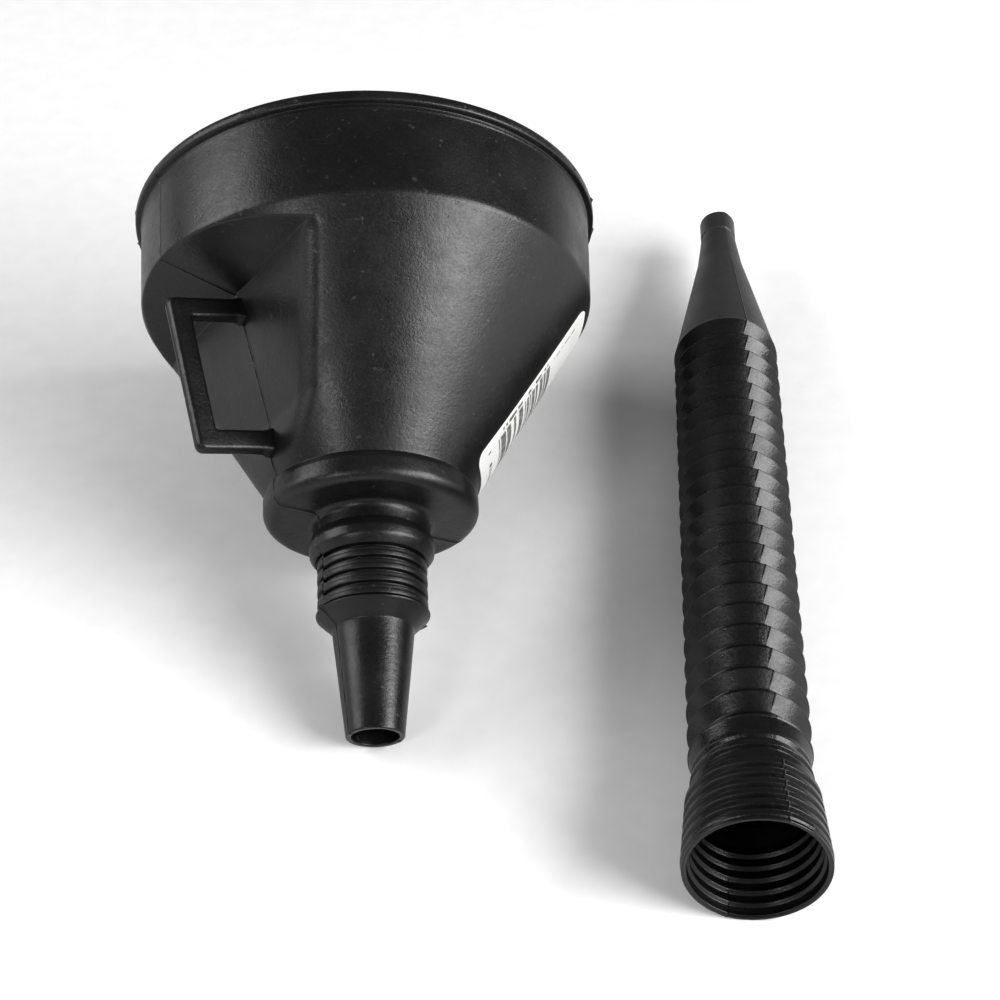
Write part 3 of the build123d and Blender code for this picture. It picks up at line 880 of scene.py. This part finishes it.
def gauze():
    """Woven wire: two sets of fine wires that pass over and under each other."""
    reach = 24.3
    post = 2.3
    pitch = 1.15
    wire = 0.14
    weave = 0.16
    sides = 5
    rise = 2.1
    seat = -SEAT_DEPTH + rise
    points = []
    faces = []

    def lay_wire(offset, direction, parity):
        """One wire at an offset from the middle, in two runs where the post is in its way."""
        half = math.sqrt(reach**2 - offset**2)
        runs = [(-half, half)]
        if abs(offset) < post:
            gap = math.sqrt(post**2 - offset**2)
            runs = [(-half, -gap), (gap, half)]
        for start, end in runs:
            count = max(3, math.ceil((end - start) / (pitch / 4)))
            base = len(points)
            for step in range(count + 1):
                along = start + (end - start) * step / count
                wave = weave * math.cos(math.pi * along / pitch) * parity
                for side in range(sides):
                    angle = 2 * math.pi * side / sides
                    across = offset + wire * math.cos(angle)
                    height = seat + wave + wire * math.sin(angle)
                    point = (along, across, height) if direction == 0 else (across, along, height)
                    points.append(point)
            for face in grid_faces(count + 1, sides, False, True, flip=direction == 0):
                faces.append(tuple(base + corner for corner in face))
            first = tuple(base + side for side in range(sides))
            last = tuple(base + count * sides + side for side in range(sides))
            faces.append(first if direction == 0 else first[::-1])
            faces.append(last[::-1] if direction == 0 else last)

    wires = int(reach / pitch)
    for index in range(-wires, wires + 1):
        parity = 1 if index % 2 else -1
        lay_wire(index * pitch, 0, parity)
        lay_wire(index * pitch, 1, -parity)
    made = mesh_object("woven_gauze", FUNNEL.put(np.array(points)), faces, gauze_metal())
    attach(made, "strainer")
    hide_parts("strainer_gauze")


# ============================ flexible spout ============================


def flex_ring(name, outline, material):
    """A closed ring of the flexible spout from a closed (radius, height) outline.

    The two mould halves meet at the seams in a slight peak, with a fine raised line.
    """
    section = outline[::-1]
    azimuth = flex_columns
    side = np.sin(azimuth - FLEX_SEAM)
    peak = FLEX_PEAK * (1 - np.abs(side)) ** 2
    lateral = np.abs(CREST_RADIUS * side)
    ridge = FLEX_SEAM_HEIGHT * hump(lateral, 0, SEAM_WIDTH)
    centre = section.mean(axis=0)
    outer = (section[:, 0] > centre[0]).astype(float)[:, None]
    radius = section[:, :1] + (peak - FLEX_PEAK * 0.5)[None, :] + ridge[None, :] * outer
    grid = np.stack(
        [
            radius * np.cos(azimuth),
            radius * np.sin(azimuth),
            np.repeat(section[:, 1:], len(azimuth), axis=1),
        ],
        axis=-1,
    )
    return torus_object(name, grid, FLEX, material)


def crest_height(crest):
    """Height of a crest above the socket's mouth."""
    return SOCKET_LENGTH + crest * PITCH


def crest_lip(height, way):
    """Outline corners of the half of a crest that lies above its middle (way 1) or below it (way -1)."""
    return [
        (CREST_SEAM_RADIUS, height, 0),
        (CREST_RADIUS - 0.02, height + way * 0.16, 0.1),
        (CREST_RADIUS - 0.35, height + way * 0.5, 0.5),
    ]


flex_columns = seam_columns(144, (FLEX_SEAM % (2 * math.pi), FLEX_SEAM + math.pi))


def bellows():
    """The bellows, one piece from each crest to the next."""
    for crest in range(CREST_COUNT - 1):
        low = crest_height(crest)
        high = low + PITCH
        middle = (low + high) / 2
        outer = crest_lip(low, 1)
        outer += [(VALLEY_RADIUS, middle - 0.25, 0.6), (VALLEY_RADIUS, middle + 0.25, 0.6)]
        outer += crest_lip(high, -1)[::-1]
        inner = [
            (CREST_BORE_RADIUS, high, 0),
            (VALLEY_RADIUS - FOLD_WALL, middle + 0.3, 0.6),
            (VALLEY_RADIUS - FOLD_WALL, middle - 0.3, 0.6),
            (CREST_BORE_RADIUS, low, 0),
        ]
        outline = rounded_outline(outer + inner, 0.9, closed=True)
        made = flex_ring(f"bellows_{crest:02d}", outline, flex_plastic)
        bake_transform(made)
        if crest > 0:
            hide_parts(f"bellows_fold_{crest:02d}")


def socket():
    """The ribbed socket with its double lip, shallow ribs inside and a two-step neck."""
    outer = [
        (SOCKET_MOUTH_RADIUS - 0.9, 0, 0.3),
        (SOCKET_MOUTH_RADIUS - 0.2, 0, 0.3),
        (SOCKET_MOUTH_RADIUS - 0.1, 0.9, 0.3),
        (SOCKET_MOUTH_RADIUS - 0.55, 1.25, 0.2),
        (SOCKET_MOUTH_RADIUS - 0.05, 1.7, 0.4),
        (SOCKET_MOUTH_RADIUS + 0.1, 3.2, 0.5),
    ]
    for rib in range(SOCKET_RIBS):
        share = (rib + 1) / SOCKET_RIBS
        radius = SOCKET_MOUTH_RADIUS + 0.1 + share * (SOCKET_TOP_RADIUS - SOCKET_MOUTH_RADIUS)
        foot = SOCKET_RIB_START + rib * THREAD_PITCH
        outer += [
            (radius - SOCKET_RIB_DEPTH, foot + 0.2, 0.25),
            (radius - SOCKET_RIB_DEPTH, foot + 1.1, 0.3),
            (radius, foot + 1.9, 0.25),
            (radius - 0.1, foot + 3.6, 0.3),
        ]
    outer += [
        (SOCKET_TOP_RADIUS - 1.3, SOCKET_TOP - 3.6, 0.5),
        (SOCKET_TOP_RADIUS - 1.1, SOCKET_TOP - 1.2, 0.8),
        (SOCKET_NECK_RADIUS - 0.3, SOCKET_TOP - 0.4, 0.3),
        (SOCKET_NECK_RADIUS - 0.3, SOCKET_TOP + 0.5, 0.3),
        (SOCKET_NECK_RADIUS + 0.9, SOCKET_TOP + 1.2, 0.3),
        (SOCKET_NECK_RADIUS + 0.6, SOCKET_TOP + 3.0, 0.4),
        (SOCKET_NECK_RADIUS - 0.6, SOCKET_TOP + 3.7, 0.3),
        (SOCKET_NECK_RADIUS - 0.6, SOCKET_TOP + 4.5, 0.3),
        (SOCKET_NECK_RADIUS + 0.3, SOCKET_NECK_TOP - 1.0, 0.3),
        (SOCKET_NECK_RADIUS + 0.1, SOCKET_NECK_TOP + 0.4, 0.5),
    ]
    outer += crest_lip(SOCKET_LENGTH, -1)[::-1]
    inner = [
        (CREST_BORE_RADIUS, SOCKET_LENGTH, 0),
        (SOCKET_NECK_RADIUS - 1.3, SOCKET_NECK_TOP, 0.6),
        (SOCKET_NECK_RADIUS - 1.3, SOCKET_TOP, 0.6),
    ]
    for rib in reversed(range(SOCKET_RIBS)):
        share = (rib + 1) / SOCKET_RIBS
        radius = SOCKET_MOUTH_RADIUS + share * (SOCKET_TOP_RADIUS - SOCKET_MOUTH_RADIUS) - SOCKET_WALL
        foot = SOCKET_RIB_START + rib * THREAD_PITCH
        inner += [
            (radius + 0.15, foot + 3.3, 0.4),
            (radius + 0.1, foot + 1.4, 0.4),
            (radius - SOCKET_INNER_RIB_DEPTH, foot + 0.8, 0.25),
            (radius - SOCKET_INNER_RIB_DEPTH, foot + 0.1, 0.25),
        ]
    inner += [
        (SOCKET_MOUTH_RADIUS - SOCKET_WALL, 3.0, 0.3),
        (SOCKET_MOUTH_RADIUS - SOCKET_WALL + 0.3, 1.4, 0.4),
        (SOCKET_MOUTH_RADIUS - SOCKET_WALL, 0.5, 0.3),
    ]
    outline = rounded_outline(outer + inner, 0.9, closed=True)
    made = flex_ring("ribbed_socket", outline, flex_plastic)
    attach(made, "socket")
    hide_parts("flex_socket")


def nozzle():
    """The tapered nozzle with its waist and its cut-off end band."""
    base = crest_height(CREST_COUNT - 1)
    band_foot = NOZZLE_LENGTH - TIP_BAND
    outer = crest_lip(base, 1)[:2]
    outer += [
        (CREST_RADIUS - 0.25, base + 0.9, 0.6),
        (NOZZLE_CONE_RADIUS, base + NOZZLE_CONE_LENGTH, 9.0),
        (NOZZLE_NECK_RADIUS, base + band_foot - 0.9, 0.3),
        (TIP_RADIUS - 0.6, base + band_foot - 0.5, 0.2),
        (TIP_RADIUS - 0.6, base + band_foot + 0.1, 0.2),
        (TIP_RADIUS - 0.05, base + band_foot + 0.6, 0.3),
        (TIP_RADIUS, base + NOZZLE_LENGTH, 0.3),
    ]
    inner = [
        (TIP_BORE_RADIUS, base + NOZZLE_LENGTH, 0.3),
        (TIP_BORE_RADIUS, base + band_foot, 1.0),
        (NOZZLE_CONE_RADIUS - NOZZLE_WALL, base + NOZZLE_CONE_LENGTH, 4.0),
        (CREST_BORE_RADIUS, base, 0),
    ]
    outline = rounded_outline(outer + inner, 1.6, closed=True)
    made = flex_ring("tapered_nozzle", outline, nozzle_plastic)
    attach(made, "nozzle")
    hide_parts("flex_nozzle")


# ============================ studio ============================


def floor():
    """A wide pale floor."""
    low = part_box("funnel_neck")[0].z
    ways = ((-1, -1), (1, -1), (1, 1), (-1, 1))
    corners = [(FLOOR_REACH * x_way, FLOOR_REACH * y_way, low) for x_way, y_way in ways]
    made = mesh_object("studio_floor", corners, [(0, 1, 2, 3)], studio_floor(), smooth=False)


def area_light(name, place, size, power, shape_ratio=1.0):
    """A soft box that points at the middle of the scene."""
    data = bpy.data.lights.new(name, "AREA")
    data.shape = "RECTANGLE"
    data.size = size
    data.size_y = size * shape_ratio
    data.energy = power
    lamp = bpy.data.objects.new(name, data)
    lamp.location = place
    lamp.rotation_mode = "QUATERNION"
    lamp.rotation_quaternion = (Vector(LIGHT_TARGET) - Vector(place)).to_track_quat("-Z", "Y")
    bpy.context.scene.collection.objects.link(lamp)


def studio():
    """Soft light from high on the right and on the left, in a pale surround."""
    world = bpy.data.worlds.new("studio_world")
    world.use_nodes = True
    background = world.node_tree.nodes["Background"]
    background.inputs["Color"].default_value = (1, 1, 1, 1)
    background.inputs["Strength"].default_value = SURROUND_STRENGTH
    bpy.context.scene.world = world
    bpy.context.scene.view_settings.view_transform = "Standard"
    bpy.context.scene.view_settings.exposure = EXPOSURE
    bpy.context.scene.view_settings.gamma = GAMMA
    area_light("key_right", place=(1.10, -0.58, 0.66), size=1.2, power=28.0, shape_ratio=0.67)
    area_light("edge_left", place=(-0.72, -1.02, 0.66), size=0.35, power=3.0)
    area_light("fill_left", place=(-1.22, 0.17, 0.66), size=1.0, power=9.0, shape_ratio=0.8)


def camera():
    """The camera, up in front of the two pieces, looking down at them."""
    data = bpy.data.cameras.new("camera")
    data.sensor_width = 36.0
    data.lens = CAMERA_LENS
    made = bpy.data.objects.new("camera", data)
    made.location = CAMERA_PLACE
    made.rotation_euler = (math.radians(CAMERA_TILT), 0.0, math.radians(CAMERA_PAN))
    bpy.context.scene.collection.objects.link(made)
    bpy.context.scene.camera = made


def strainer_look():
    """The strainer's moulded frame keeps its CAD shape and gets the plastic."""
    for slot in frame["nodes"]["strainer_frame"].material_slots:
        slot.material = strainer_plastic


funnel_moulding()
handle()
label()
strainer_look()
gauze()
bellows()
socket()
nozzle()
floor()
studio()
camera()
